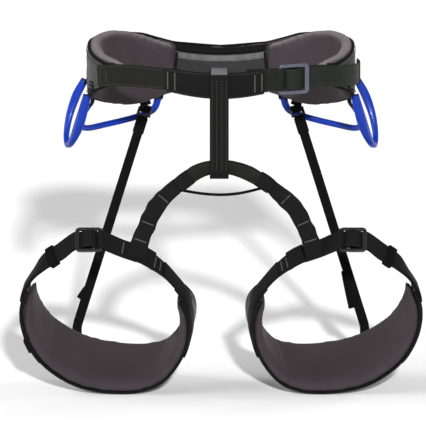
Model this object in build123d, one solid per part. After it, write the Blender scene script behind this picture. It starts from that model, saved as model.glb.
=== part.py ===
from build123d import *
from math import cos, radians, sin
import os

# Climbing harness with adjustable leg loops, in the shape that it has when it is worn.
# Millimetres. +X is the wearer's left, +Y points to the wearer's back, +Z is up. Names say left and
# right as the wearer does.
# Heights in this file count from the lowest point of the leg loops. The part's own origin is the
# centre of the waist opening, half way up the waist webbing, and save() moves each piece there.

# Driving dimensions
WAIST_HEIGHT = 370.0        # middle of the waist webbing above the foot of the leg loops
WAIST_HALF_WIDTH = 131.0    # waist opening, lining to lining
WAIST_HALF_DEPTH = 98.0
BELT_STEP = 6               # degrees between the stations of the belt's layers
PAD = 11.0                  # foam of the waist pads, lining included
CORE = 2.0                  # load webbing inside the belt and the leg loops
SHELL = 1.6                 # outer fabric
SEAM = 0.3                  # room between two layers
WAIST_WEBBING = 24.0
WEBBING = 2.0               # thickness of every flat webbing
LEG_WEBBING = 20.0
BELAY_LENGTH, BELAY_WIDTH = 122.0, 20.0
BELAY_WALL, BELAY_GAP = 4.0, 9.6
BELAY_X = -2.0
LEG_X = 123.0               # middle of each leg loop
LEG_Y = -35.0               # where the near rim of the leg loops is lowest
LEG_PAD = 8.8
RISER_WIDTH = 11.0
GEAR_TUBE = 6.0

CORE_DEPTH = PAD + SEAM
SHELL_DEPTH = CORE_DEPTH + CORE + SEAM
STRAP_DEPTH = SHELL_DEPTH + SHELL + SEAM
TIE_IN_DEPTH = STRAP_DEPTH + WEBBING + SEAM
BELAY_Y = -WAIST_HALF_DEPTH - TIE_IN_DEPTH - 1.1
BELAY_FOOT = 264.0

BUCKLE_ANGLE = 148.5        # round the belt from the middle of the back
BUCKLE_DEPTH = STRAP_DEPTH + 7.5
BUCKLE_LEAN = 8.0
BAR_RADIUS = 1.6
SLIDER_X = -6.4             # inner post of the sliding plate, along the buckle
FRAME_EDGE, SLIDER_EDGE = 0.4, 0.35

# Edges of the belt: height against the angle round from the middle of the back.
PAD_TOP = [(0, 362), (20, 364), (45, 384), (60, 391), (78, 393), (90, 392), (105, 387), (132, 381)]
PAD_FOOT = [(0, 310), (20, 310), (42, 300), (60, 306), (75, 316), (90, 325), (105, 338), (132, 357)]

# Leg loop, unrolled on its own near rim: across towards the middle, up the rim, then how far the
# pad reaches back from the rim. The row runs from the outer end, under the thigh, to the inner end.
LEG_RIM = [
    (-80, 153, 24), (-90, 134, 38), (-95.5, 108, 54), (-92, 77, 67), (-79, 46, 78), (-57, 22, 85),
    (-30, 6, 88), (0, 0, 88), (30, 0.5, 86), (56, 11, 81), (75.5, 36, 73), (86.5, 66, 62),
    (88, 98, 50), (79.5, 124, 38), (67, 144, 26),
]
RIM_UP = Vector(0, -0.3586, 0.9335)
LEG_BACK = Vector(0.15, 0.923, 0.3546)

SIDES = ("right", "left")


def save(name, shape):
    """Writes one piece in the part's own frame."""
    export_step(shape.moved(Location((0, 0, -WAIST_HEIGHT))), f"parts/{name}.step")


def side_of(shape, side):
    """Pieces are drawn on the -X side; the other side is the mirror image."""
    return shape if side == "right" else shape.mirror(Plane.YZ)


def between(table, at):
    """Straight-line reading of a table of (place, value)."""
    for (a, low), (b, high) in zip(table, table[1:]):
        if at <= b:
            return low + (high - low) * (at - a) / (b - a)
    return table[-1][1]


def skin(sections):
    """Solid through a row of outlines."""
    return Solid.make_loft([Wire.make_polygon(s, close=True) for s in sections], ruled=True)


def ribbon(path, normals, width, thickness, across_at=None):
    """Flat strap along a row of points, with its faces along the normals.

    across_at gives the direction across the strap at those points where it lies on a slanted surface.
    """
    widths = width if isinstance(width, list) else [width] * len(path)
    sections = []
    for i, point in enumerate(path):
        if across_at and i in across_at:
            across, out = across_at[i], normals[i] * (thickness / 2)
        else:
            ahead = path[min(i + 1, len(path) - 1)] - path[max(i - 1, 0)]
            across = ahead.cross(normals[i]).normalized()
            out = across.cross(ahead).normalized() * (thickness / 2)
        across = across * (widths[i] / 2)
        sections.append([point - across - out, point + across - out,
                         point + across + out, point - across + out])
    return skin(sections)


def tube(points, diameter):
    """Round bar along straight runs with the largest arcs that they allow."""
    radii = []
    for a, b, c in zip(points, points[1:], points[2:]):
        turn = (b - a).get_angle(c - b)
        run = min((b - a).length, (c - b).length)
        radii.append(round(0.45 * run / (sin(radians(turn / 2)) / cos(radians(turn / 2))), 2))
    path = FilletPolyline(*points, radius=radii)
    start = Plane(origin=path @ 0, z_dir=path % 0)
    print("tube length", round(path.length, 1), "radii", radii)
    return sweep(start * Circle(diameter / 2), path=path)


# Waist belt -----------------------------------------------------------------------------------

def belt_normal(angle):
    a = radians(angle)
    return Vector(sin(a) / WAIST_HALF_WIDTH, cos(a) / WAIST_HALF_DEPTH, 0).normalized()


def belt(angle, depth, height):
    """Point of the belt: angle from the middle of the back, depth out from the lining."""
    a = radians(angle)
    lining = Vector(WAIST_HALF_WIDTH * sin(a), WAIST_HALF_DEPTH * cos(a), height)
    return lining + belt_normal(angle) * depth


def belt_layer(angles, inner, outer, foot, top):
    """One layer of the belt between two depths, with its own lower and upper edge."""
    return skin([
        [belt(a, inner, foot(a)), belt(a, outer, foot(a)), belt(a, outer, top(a)), belt(a, inner, top(a))]
        for a in angles
    ])


def pad_top(angle):
    return between(PAD_TOP, abs(angle))


def pad_foot(angle):
    return between(PAD_FOOT, abs(angle))


def belt_strap(angles, depth, width=WAIST_WEBBING, rise=lambda a: 0.0, thickness=WEBBING):
    """Webbing that follows the belt at one depth."""
    widths = width if isinstance(width, list) else [width] * len(angles)
    return skin([
        [belt(a, d, WAIST_HEIGHT + rise(a) + z * w / 2)
         for d, z in ((depth, -1), (depth + thickness, -1), (depth + thickness, 1), (depth, 1))]
        for a, w in zip(angles, widths)
    ])


def stations(first, last, step=BELT_STEP):
    count = round(abs(last - first) / step)
    return [first + (last - first) * i / count for i in range(count + 1)]


def make_waist():
    for side in SIDES:
        save(f"waist_pad_{side}", side_of(belt_layer(stations(-132, -22), 0, PAD, pad_foot, pad_top), side))
    back = stations(-21, 21)
    save("back_panel", belt_layer(back, 1.6, PAD, lambda a: 310, lambda a: 362))
    save("back_mesh_stripe", belt_layer(back, 0.6, 1.4, lambda a: 346, lambda a: 354.5))
    save("back_lower_lining", belt_layer(back, 0.6, 1.4, lambda a: 311.5, lambda a: 345.6))
    save("waist_core_webbing", belt_layer(
        stations(-126, 126), CORE_DEPTH, CORE_DEPTH + CORE,
        lambda a: between([(0, 324), (45, 330), (90, 345), (126, 358.5)], abs(a)),
        lambda a: between([(0, 348), (45, 354), (90, 369), (126, 380)], abs(a))))
    save("waist_shell", belt_layer(
        stations(-132, 132), SHELL_DEPTH, SHELL_DEPTH + SHELL,
        lambda a: pad_foot(a) + 1.5, lambda a: pad_top(a) - 3.0))


def make_front_straps():
    """Webbing that comes out of the belt, and the tie-in strap that joins the two sides."""
    save("front_webbing_right", belt_strap(stations(-162, -114), STRAP_DEPTH, rise=strap_rise))

    # The left webbing goes round the buckle's fixed bar and is sewn back behind itself.
    plane = buckle_plane()
    height = WAIST_HEIGHT + strap_rise(160)
    middle = STRAP_DEPTH + WEBBING / 2
    path = [belt(a, middle + d, height) for a, d in ((169, 0), (162, 0), (159.5, 1.6), (157, 4.4))]
    normals = [belt_normal(a) for a in (169, 162, 159.5, 157)]
    fold, faces = fold_round(plane, -15.3, 0, 3.2, 1)
    square = {len(path) + i: plane.y_dir * -1 for i in range(len(fold))}
    path += fold
    normals += faces
    path += [belt(a, middle + d, height) for a, d in ((159.5, -1.0), (162, -2.3), (169, -2.3))]
    normals += [belt_normal(a) * -1 for a in (159.5, 162, 169)]
    save("front_webbing_left", ribbon(path, normals, WAIST_WEBBING, WEBBING, square))

    angles = stations(-156, -198)
    widths = [25.5, 26, 27.5, 28.5, 28.5, 27.5, 26, 25.5]
    save("tie_in_strap", belt_strap(angles, TIE_IN_DEPTH, widths, tie_in_sag, 2.2))

    tacks = [belt_strap([a - 0.4, a + 0.4], TIE_IN_DEPTH + 2.3, 19, tie_in_sag, 0.7)
             for a in (-157, -160, -194.5, -197.2)]
    tacks += [belt_strap([a - 0.4, a + 0.4], STRAP_DEPTH + WEBBING + 0.1, 17, strap_rise, 0.7)
              for a in (-118, -122.5)]
    save("waist_bar_tacks", Compound(children=tacks))


STRAP_RISE = [(84, -14), (90, -14), (104, -11), (117, -7), (130, -1), (140, 1.5), (180, 1.5)]


def strap_rise(angle):
    """How far the webbing stands above the middle of the belt: it drops towards the sides."""
    return between(STRAP_RISE, min(180, abs(angle)))


def tie_in_sag(angle):
    """The tie-in strap hangs lower in the middle."""
    return 1.5 - 5.0 * cos(radians(min(90, abs(abs(angle) - 180) * 90 / 24)))


def fold_round(plane, x, z, radius, way):
    """Half turn of a strap round a bar of the buckle, and the strap's outward directions there.

    It goes from the outer side of the bar to the inner side, round the side where way points.
    """
    points, faces = [], []
    for turn in (90, 45, 0, -45, -90):
        away = Vector(way * cos(radians(turn)), 0, sin(radians(turn)))
        points.append(plane.from_local_coords(Vector(x, 0, z) + away * radius))
        faces.append((plane.from_local_coords(away) - plane.origin).normalized())
    return points, faces


def buckle_plane():
    """Plane of the waist buckle: x along the webbing, away from the middle, y up, z outward."""
    out = belt_normal(BUCKLE_ANGLE)
    along = Vector(0, 0, 1).cross(out)
    lean = radians(BUCKLE_LEAN)
    return Plane(origin=belt(BUCKLE_ANGLE, BUCKLE_DEPTH, WAIST_HEIGHT + strap_rise(BUCKLE_ANGLE)),
                 x_dir=along * cos(lean) + out * sin(lean), z_dir=out * cos(lean) - along * sin(lean))


def soften(plate, radius):
    """Rounds the edges of both faces of a flat plate."""
    faces = plate.faces().sort_by(Axis.Z)
    return fillet(faces[0].edges() + faces[-1].edges(), radius)


def frame_and_slider(plane, length, height, thick, window, post, slider_thick, gap):
    """Adjusting buckle: an outer frame with a round fixed bar, and a sliding plate behind it."""
    frame = extrude(RectangleRounded(length, height, 5), thick / 2, both=True)
    frame -= Pos(-post / 2 - 1, 0, 0) * Box(length - post + 2, window, thick + 2)
    frame = soften(frame, FRAME_EDGE)
    bar = Pos(-length / 2 + 1.7, 0, 0) * Rot(90, 0, 0) * Cylinder(BAR_RADIUS, window + 4)
    frame += bar
    low = -thick / 2 - gap - slider_thick / 2
    slider = Pos(SLIDER_X + length / 3, 0, low) * extrude(
        RectangleRounded(length * 2 / 3, height - 2, 3), slider_thick / 2, both=True)
    slider -= Pos(SLIDER_X + length / 3, 0, low) * Box(length * 2 / 3 - 6.4, window, slider_thick + 2)
    slider = soften(slider, SLIDER_EDGE)
    return plane * frame, plane * slider


def make_waist_buckle():
    """The buckle on the wearer's left, and the strap that is threaded through it."""
    plane = buckle_plane()
    frame, slider = frame_and_slider(plane, 34, 33.5, 3.0, 25.5, 5, 1.8, 2.7)
    save("waist_buckle_frame", frame)
    save("waist_buckle_slider", slider)

    middle = STRAP_DEPTH + WEBBING / 2
    inner_angles = (120, 126, 132, 137)
    path = [belt(a, middle, WAIST_HEIGHT + strap_rise(a)) for a in inner_angles]
    normals = [belt_normal(a) * -1 for a in inner_angles]
    outward = plane.z_dir
    wrap, faces = fold_round(plane, SLIDER_X + 0.4, -5.1, 2.2, -1)
    runs = [plane.from_local_coords(Vector(x, 0, z))
            for x, z in ((15, -7.7), (3, -7.3), (3, -2.9), (21, -2.9))]
    square = {len(path) + i: plane.y_dir * -1 for i in range(len(wrap) + 4)}
    path += runs[:2] + wrap[::-1] + runs[2:]
    normals += [outward * -1] * 2 + faces[::-1] + [outward] * 2
    tail_angles = (136, 131, 126, 120, 114, 108, 102, 96, 90, 84)
    path += [belt(a, middle + max(WEBBING + SEAM, 4.6 - 0.5 * (136 - a)), WAIST_HEIGHT + strap_rise(a))
             for a in tail_angles]
    normals += [belt_normal(a) for a in tail_angles]
    save("waist_adjusting_strap", ribbon(path, normals, WAIST_WEBBING - 0.5, WEBBING, square))

    keeper = 90
    centre = belt(keeper, middle + 1.1, WAIST_HEIGHT + strap_rise(keeper))
    place = Plane(origin=centre, x_dir=Vector(0, 0, 1), z_dir=belt_normal(keeper))
    ring = Box(WAIST_WEBBING + 4, 8, 6.6) - Box(WAIST_WEBBING + 1, 10, 5.0)
    save("waist_strap_keeper", place * (Pos(0, 0, 0.9) * ring))


# Middle: belay loop and leg bridge ------------------------------------------------------------

BRIDGE = [(-40, 261), (-28, 270), (-14, 276), (-2, 277.3), (12, 276), (28, 270.5), (48, 259)]
ARM_RIGHT = [(-42, 259.6), (-57, 247), (-71, 229.5), (-81, 208), (-88.5, 190)]
ARM_LEFT = [(50, 257.6), (64, 246), (80, 229), (91, 208), (98, 190)]


def front_y(z):
    """The bridge leans back towards its foot."""
    return BELAY_Y + (277 - z) * 0.11


def make_middle():
    profile = SlotOverall(BELAY_LENGTH, BELAY_GAP + 2 * BELAY_WALL)
    profile -= SlotOverall(BELAY_LENGTH - 2 * BELAY_WALL, BELAY_GAP)
    place = Plane(origin=(BELAY_X - BELAY_WIDTH / 2, BELAY_Y, BELAY_FOOT + BELAY_LENGTH / 2),
                  x_dir=(0, 0, 1), z_dir=(1, 0, 0))
    save("belay_loop", place * extrude(profile, BELAY_WIDTH))
    cover = SlotOverall(BELAY_LENGTH + 1.8, BELAY_GAP + 2 * BELAY_WALL + 1.8)
    cover -= SlotOverall(BELAY_LENGTH + 0.2, BELAY_GAP + 2 * BELAY_WALL + 0.2)
    cover = Pos(0, 0, 1) * extrude(cover, BELAY_WIDTH - 2)
    cover -= Pos(-6, 0, BELAY_WIDTH / 2) * Box(BELAY_LENGTH, 40, 40)
    save("belay_loop_guard", place * cover)

    path = [Vector(x, front_y(z), z) for x, z in BRIDGE]
    normals = [Vector(0, -1, 0)] * len(path)
    save("bridge_webbing", ribbon(path, normals, 12, 3))
    sleeve = ribbon(path, normals, [15, 15, 13, 13, 13, 15, 15], 7) - ribbon(path, normals, 12.6, 3.6)
    save("bridge_sleeve", sleeve)
    for name, arm in (("right", ARM_RIGHT), ("left", ARM_LEFT)):
        path = [Vector(x, front_y(z), z) for x, z in arm]
        save(f"bridge_arm_{name}", ribbon(path, [Vector(0, -1, 0)] * len(path), [14, 18, 19, 19, 19], 3))
    cord = [(-41.5, 249.5), (-26, 246.5), (-10, 244.8), (6, 244.5), (26, 247), (43, 252)]
    save("bridge_elastic", tube([Vector(x, front_y(z) + 3.3, z) for x, z in cord], 3.2))


# Leg loops ------------------------------------------------------------------------------------

LEG_ORIGIN = Vector(-LEG_X, LEG_Y, 0)
FRONT = Vector(0, -0.80, 0.60)      # the straps over the thigh face this way


def rim_out(i):
    """Outward direction of the leg loop at one of its stations."""
    a, b = LEG_RIM[max(i - 1, 0)], LEG_RIM[min(i + 1, len(LEG_RIM) - 1)]
    return (Vector(1, 0, 0) * (b[1] - a[1]) - RIM_UP * (b[0] - a[0])).normalized()


def rim_point(across, up, back=0.0):
    return LEG_ORIGIN + Vector(1, 0, 0) * across + RIM_UP * up + LEG_BACK * back


def leg_layer(outer, inner, near, far):
    """Layer of the leg loop between two depths, from near to far back of the rim at each station."""
    sections = []
    for i, (across, up, reach) in enumerate(LEG_RIM):
        out = rim_out(i)
        a, b = rim_point(across, up, near(reach)), rim_point(across, up, far(reach))
        sections.append([a - out * outer, b - out * outer, b - out * inner, a - out * inner])
    return skin(sections)


def leg_buckle_plane():
    """x points to the outer side of the thigh, z outward."""
    return Plane(origin=rim_point(-21, 200, 9) + FRONT * 4.5, x_dir=Vector(-1, 0, 0), z_dir=FRONT)


def mixed(i, share):
    """Direction between the leg loop's own outward direction at a station and the front."""
    return (rim_out(i) * (1 - share) + FRONT * share).normalized()


def make_leg(side):
    save(f"leg_shell_{side}", side_of(leg_layer(0, 1.5, lambda r: 0, lambda r: r), side))
    save(f"leg_core_webbing_{side}", side_of(
        leg_layer(1.7, 3.5, lambda r: r / 2 - 10, lambda r: r / 2 + 10), side))
    save(f"leg_pad_{side}", side_of(leg_layer(3.7, 3.7 + LEG_PAD, lambda r: 1, lambda r: r - 1), side))

    plane = leg_buckle_plane()
    frame, slider = frame_and_slider(plane, 30, 28, 2.4, 21.5, 4.5, 1.4, 2.3)
    save(f"leg_buckle_frame_{side}", side_of(frame, side))
    save(f"leg_buckle_slider_{side}", side_of(slider, side))

    # Front webbing: from the inner end of the pad, over the thigh, round the fixed bar and back.
    local = plane.from_local_coords
    route = [(83.75, 111, 14, 13), (79.5, 124, 14, 13), (67, 144, 13, 14), (57, 159, 11, 14),
             (46, 171, 9.5, 14), (30, 183, 8.5, 14), (13, 190.5, 8, 14)]
    shares = (0, 0, 0, 0.4, 0.65, 0.85, 1)
    normals = [mixed(i, s) for (a, b, c, i), s in zip(route, shares)]
    path = [rim_point(a, b, c) + n * (1.3 + 2.5 * s) for (a, b, c, i), n, s in zip(route, normals, shares)]
    on_shell = {i: LEG_BACK.normalized() for i in range(3)}
    fold, faces = fold_round(plane, -13.3, 0, 3.0, 1)
    back = [p - n * 2.3 for p, n in zip(path[6:4:-1], normals[6:4:-1])]
    back_normals = [n * -1 for n in normals[6:4:-1]]
    on_shell.update({len(path) + i: plane.y_dir * -1 for i in range(len(fold))})
    strap = ribbon(path + fold + back, normals + faces + back_normals, LEG_WEBBING, 1.8, on_shell)
    save(f"leg_front_webbing_{side}", side_of(strap, side))

    # Adjusting strap: from the outer end of the pad, round the slider and back over itself.
    route = [(-92.75, 121, 14, 0), (-90, 134, 14, 0), (-80, 153, 13, 0), (-68, 170, 11, 0), (-52, 184, 10, 0)]
    shares = (0, 0, 0, 0.45, 0.8)
    under = [mixed(i, s) for (a, b, c, i), s in zip(route, shares)]
    lower = [rim_point(a, b, c) + n * (1.3 + 0.6 * s) for (a, b, c, i), n, s in zip(route, under, shares)]
    wrap, faces = fold_round(plane, SLIDER_X + 0.4, -4.2, 1.9, -1)
    runs = [local(Vector(x, 0, z)) for x, z in ((15, -6.5), (3, -6.1), (3, -2.3), (16.5, -2.3))]
    path = lower + runs[:2] + wrap[::-1] + runs[2:] + [p + n * 2.2 for p, n in zip(lower[::-1], under[::-1])]
    normals = [n * -1 for n in under] + [FRONT * -1] * 2 + faces[::-1] + [FRONT] * 2 + under[::-1]
    last = len(path) - 1
    on_shell = {i: LEG_BACK.normalized() for i in (0, 1, 2, last - 2, last - 1, last)}
    on_shell.update({len(lower) + i: plane.y_dir * -1 for i in range(len(wrap) + 4)})
    strap = ribbon(path, normals, LEG_WEBBING - 0.5, 1.8, on_shell)
    save(f"leg_adjusting_strap_{side}", side_of(strap, side))

    along = (lower[4] - lower[3]).normalized()
    face = (under[3] + under[4]).normalized()
    keeper = Plane(origin=(lower[3] + lower[4]) * 0.5 + face * 1.1, x_dir=along, z_dir=face)
    ring = Box(9, LEG_WEBBING + 5, 10.4) - Box(12, LEG_WEBBING + 2, 8)
    save(f"leg_strap_keeper_{side}", side_of(keeper * ring, side))


# Risers ---------------------------------------------------------------------------------------

RISER_TOP = Vector(-86, 91, 284)
RISER_FOOT = Vector(-158, 45, 60)
RISER_FACE = Vector(-0.35, -0.9, 0.25)
RISER_TAB = -35.5           # round the belt from the middle of the back


def make_riser(side):
    middle = RISER_TOP + (RISER_FOOT - RISER_TOP) * 0.5
    for name, a, b in (("upper", RISER_TOP, middle), ("lower", middle, RISER_FOOT)):
        path = [a + (b - a) * t for t in (0.0, 0.5, 1.0)]
        save(f"riser_{name}_{side}", side_of(ribbon(path, [RISER_FACE] * 3, RISER_WIDTH, 1.8), side))
    along = (RISER_FOOT - RISER_TOP).normalized()
    face = along.cross(RISER_FACE).cross(along).normalized()
    hook = Plane(origin=RISER_TOP - along * 5, x_dir=along, z_dir=face)
    save(f"riser_hook_{side}", side_of(hook * (Box(9, 15, 5) - Pos(1.5, 0, 0) * Box(2.2, 11.6, 8)), side))
    tab = [belt(RISER_TAB, STRAP_DEPTH + 1, z) for z in (322, 303)] + [RISER_TOP - along * 12.5]
    normals = [belt_normal(RISER_TAB)] * 2 + [face * -1]
    save(f"riser_tab_{side}", side_of(ribbon(tab, normals, 12, WEBBING), side))


# Gear loops -----------------------------------------------------------------------------------

GEAR_FRONT = [(-78, 20.6, 341), (-77.5, 24, 318), (-81, 31, 290), (-90, 34.5, 276), (-99, 32.5, 283),
              (-106, 28, 304), (-106, 20.6, 338)]
GEAR_REAR = [(-28, 20.6, 303), (-30, 24, 288), (-38, 27.5, 281), (-53, 31, 277.5), (-66, 33.5, 279),
             (-73, 33, 290), (-73, 20.6, 310)]


def make_gear_loops(side):
    for place, route in (("front", GEAR_FRONT), ("rear", GEAR_REAR)):
        points = [belt(*p) for p in route]
        save(f"gear_loop_{place}_{side}", side_of(tube(points, GEAR_TUBE), side))
        tabs = []
        for angle, _, height in (route[0], route[-1]):
            middle = belt(angle, STRAP_DEPTH + 0.6, height + 6)
            plane = Plane(origin=middle, x_dir=(0, 0, 1), z_dir=belt_normal(angle))
            tabs.append(side_of(plane * Box(20, 10, 1.2), side))
        save(f"gear_loop_tabs_{place}_{side}", Compound(children=tabs))


def make_haul_loop():
    y = WAIST_HALF_DEPTH + STRAP_DEPTH + 1
    path = [(0, 344), (0, 322), (2, 312), (9, 300), (12, 291), (9, 283.5), (3, 283.5), (-1, 290), (-1, 304)]
    points = [Vector(BELAY_X, y + a, z) for a, z in path]
    faces = []
    for i in range(len(points)):
        ahead = points[min(i + 1, len(points) - 1)] - points[max(i - 1, 0)]
        faces.append(Vector(1, 0, 0).cross(ahead))
    save("haul_loop", ribbon(points, faces, 12, WEBBING))


os.makedirs("parts", exist_ok=True)
make_waist()
make_front_straps()
make_waist_buckle()
make_middle()
for wearer_side in SIDES:
    make_leg(wearer_side)
    make_riser(wearer_side)
    make_gear_loops(wearer_side)
make_haul_loop()
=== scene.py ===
import bmesh, bpy, math, random
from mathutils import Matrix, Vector, noise


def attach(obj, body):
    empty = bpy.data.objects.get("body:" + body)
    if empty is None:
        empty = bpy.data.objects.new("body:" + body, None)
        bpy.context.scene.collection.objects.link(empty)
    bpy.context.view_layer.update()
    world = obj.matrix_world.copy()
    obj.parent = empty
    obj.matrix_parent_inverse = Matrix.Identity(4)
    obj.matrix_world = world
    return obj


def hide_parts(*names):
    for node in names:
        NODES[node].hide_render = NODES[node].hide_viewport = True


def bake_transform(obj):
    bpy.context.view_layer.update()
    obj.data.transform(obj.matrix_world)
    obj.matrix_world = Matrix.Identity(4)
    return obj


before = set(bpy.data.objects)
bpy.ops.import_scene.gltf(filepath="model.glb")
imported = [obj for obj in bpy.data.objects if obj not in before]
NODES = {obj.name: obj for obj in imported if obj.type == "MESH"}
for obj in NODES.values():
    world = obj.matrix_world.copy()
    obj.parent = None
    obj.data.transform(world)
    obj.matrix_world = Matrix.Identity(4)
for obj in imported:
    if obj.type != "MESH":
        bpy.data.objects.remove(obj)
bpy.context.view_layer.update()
random.seed(7)
noise.seed_set(7)    # noise vectors would otherwise take their offsets from the clock
scene = bpy.context.scene

# Millimetres, with heights from the foot of the leg loops, as in the CAD; metres at the very end.
H = 370.0                       # height of the waist webbing's middle
HALF_W, HALF_D = 131.0, 98.0    # half axes of the pads' inner face
STRAP_DEPTH = 15.5              # outward from that face to the waist webbing
TIE_DEPTH = 17.8                # and to the tie-in strap
BELAY_X, BELAY_Y = -2, -116.9   # middle of the belay loop
STITCH, FINE_STITCH = 0.42, 0.36
X, Y, Z = Vector((1, 0, 0)), Vector((0, 1, 0)), Vector((0, 0, 1))
BELAY = Vector((BELAY_X, BELAY_Y, 0))
SIDES = ("right", "left")


def metres(p):
    return Vector((p.x, p.y, p.z - H)) * 0.001


def flip(p, side):
    return Vector((-p.x, p.y, p.z)) if side == "left" else p


def spread(first, last, count):
    """count + 1 numbers at equal steps, both ends included."""
    return [first + (last - first) * i / count for i in range(count + 1)]


def towards(v, way):
    """v, turned round if it points away from way."""
    return v if v.dot(way) > 0 else -v


def ahead_at(points, i):
    """Direction of a row of points at one of them, not of unit length."""
    return points[min(i + 1, len(points) - 1)] - points[max(i - 1, 0)]


def link(name, data):
    obj = bpy.data.objects.new(name, data)
    scene.collection.objects.link(obj)
    return obj


# Curves ---------------------------------------------------------------------------------------

def catmull(a, b, c, d, t):
    square, cube = 2 * a - 5 * b + 4 * c - d, 3 * b - a - 3 * c + d
    return 0.5 * ((2 * b) + (c - a) * t + square * t * t + cube * t ** 3)


def along(values, t):
    """Smooth reading of a row of numbers or vectors; t counts in steps of the row."""
    i = min(int(t), len(values) - 2)
    a, b, c, d = (values[max(0, min(len(values) - 1, i + k))] for k in (-1, 0, 1, 2))
    return catmull(a, b, c, d, t - i)


def table(rows, at):
    """Smooth reading of a table of (place, value)."""
    for i in range(len(rows) - 1):
        if at <= rows[i + 1][0]:
            t = (at - rows[i][0]) / (rows[i + 1][0] - rows[i][0])
            return along([v for _, v in rows], i + max(0.0, t))
    return rows[-1][1]


def refine(path, normals, step, extra=()):
    """Smooth path with points about step apart, and extra rows of numbers at the same places."""
    points, faces, others = [], [], [[] for _ in extra]
    last = len(path) - 1
    for i in range(last):
        count = max(2, round((path[i + 1] - path[i]).length / step))
        for k in range(count + (i == last - 1)):
            t = i + k / count
            points.append(along(path, t))
            faces.append(along(normals, t).normalized())
            for row, source in zip(others, extra):
                row.append(along(source, t))
    return points, faces, others


# Meshes ---------------------------------------------------------------------------------------

def rounded(w, t, r, nw=8, nt=1, na=3):
    """Outline of a strip w wide and t thick, with corners of radius r, as (across, out)."""
    a, b = w / 2 - r, t / 2 - r
    points = []
    for cx, cy, start, n, run in ((a, b, 0, nw, (-2 * a, 0)), (-a, b, 90, nt, (0, -2 * b)),
                                  (-a, -b, 180, nw, (2 * a, 0)), (a, -b, 270, nt, (0, 2 * b))):
        for k in range(na + 1):
            q = math.radians(start + 90 * k / na)
            points.append((cx + r * math.cos(q), cy + r * math.sin(q)))
        q = math.radians(start + 90)
        for k in range(1, n):
            if run[0]:
                points.append((cx + run[0] * k / n, cy + r * math.sin(q)))
            else:
                points.append((cx + r * math.cos(q), cy + run[1] * k / n))
    return points


def per_point(value, path):
    return value if isinstance(value, list) else [value] * len(path)


def ring(p, across, out, *outline):
    return [p + across * u + out * v for u, v in rounded(*outline)]


def build(name, rows, material, body, side="right", loop=False, replaces="", slot=None):
    """Closed skin through rows of points, with its own length and girth in millimetres as UV."""
    verts = [metres(flip(p, side)) for row in rows for p in row]
    n, count = len(rows[0]), len(rows)
    faces, uv = [], []
    lengths = [0.0]
    for a, b in zip(rows, rows[1:] + rows[:1]):
        lengths.append(lengths[-1] + (sum(b, Vector()) / n - sum(a, Vector()) / n).length)
    girth = [0.0]
    for k in range(n):
        girth.append(girth[-1] + (rows[count // 2][(k + 1) % n] - rows[count // 2][k]).length)
    for i in range(count if loop else count - 1):
        j = (i + 1) % count
        for k in range(n):
            m = (k + 1) % n
            faces.append((i * n + k, i * n + m, j * n + m, j * n + k))
            here, there = lengths[i], lengths[i + 1]
            uv += [(here, girth[k]), (here, girth[k + 1]), (there, girth[k + 1]), (there, girth[k])]
    if not loop:
        for i in (0, count - 1):
            ring = [i * n + k for k in range(n)]
            faces.append(tuple(ring[::-1] if i == 0 else ring))
            uv += [(lengths[i], girth[k]) for k in range(n)]
    return mesh(name, verts, faces, uv, material, body, replaces, slot)


def mesh(name, verts, faces, uv, material, body, replaces="", slot=None):
    data = bpy.data.meshes.new(name)
    data.from_pydata(verts, [], faces)
    if uv:
        layer = data.uv_layers.new(name="UVMap")
        layer.data.foreach_set("uv", [c for pair in uv for c in pair])
    data.polygons.foreach_set("use_smooth", [len(f) < 5 for f in faces])
    data.materials.append(material)
    obj = link(name, data)
    fix_normals(data)
    if body:
        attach(obj, body)
    if replaces:
        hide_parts(replaces)
    return obj


def fix_normals(data):
    bm = bmesh.new()
    bm.from_mesh(data)
    bmesh.ops.recalc_face_normals(bm, faces=bm.faces)
    bm.to_mesh(data)
    bm.free()


def strip(path, normals, width, thick, corner=None, crown=0.0, step=2.0, fixed=None, wobble=0.0):
    """Rows of points of a flat strap along a path. Normals, width, thick and the direction fixed across
    the strap are one value or a list with one per point."""
    extra = [per_point(width, path), per_point(thick, path)]
    if fixed is not None:
        fixed = per_point(fixed, path)
        extra += [[f[k] for f in fixed] for k in range(3)]
    points, faces, others = refine(path, per_point(normals, path), step, extra)
    rows = []
    for i, p in enumerate(points):
        ahead = ahead_at(points, i)
        if fixed is not None:
            across = Vector((others[2][i], others[3][i], others[4][i])).normalized()
            out = towards(ahead.cross(across).normalized(), faces[i])
        else:
            across = ahead.cross(faces[i]).normalized()
            out = across.cross(ahead).normalized()
        r = corner or others[1][i] * 0.45
        row = []
        for a, b in rounded(others[0][i], others[1][i], min(r, others[1][i] * 0.49)):
            share = 1 - (2 * a / others[0][i]) ** 2
            q = p + across * a + out * (b + (crown * share if b > 0 else 0))
            if wobble:
                q = q + noise.noise_vector(q * 0.09) * wobble
            row.append(q)
        rows.append(row)
    return rows


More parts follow.
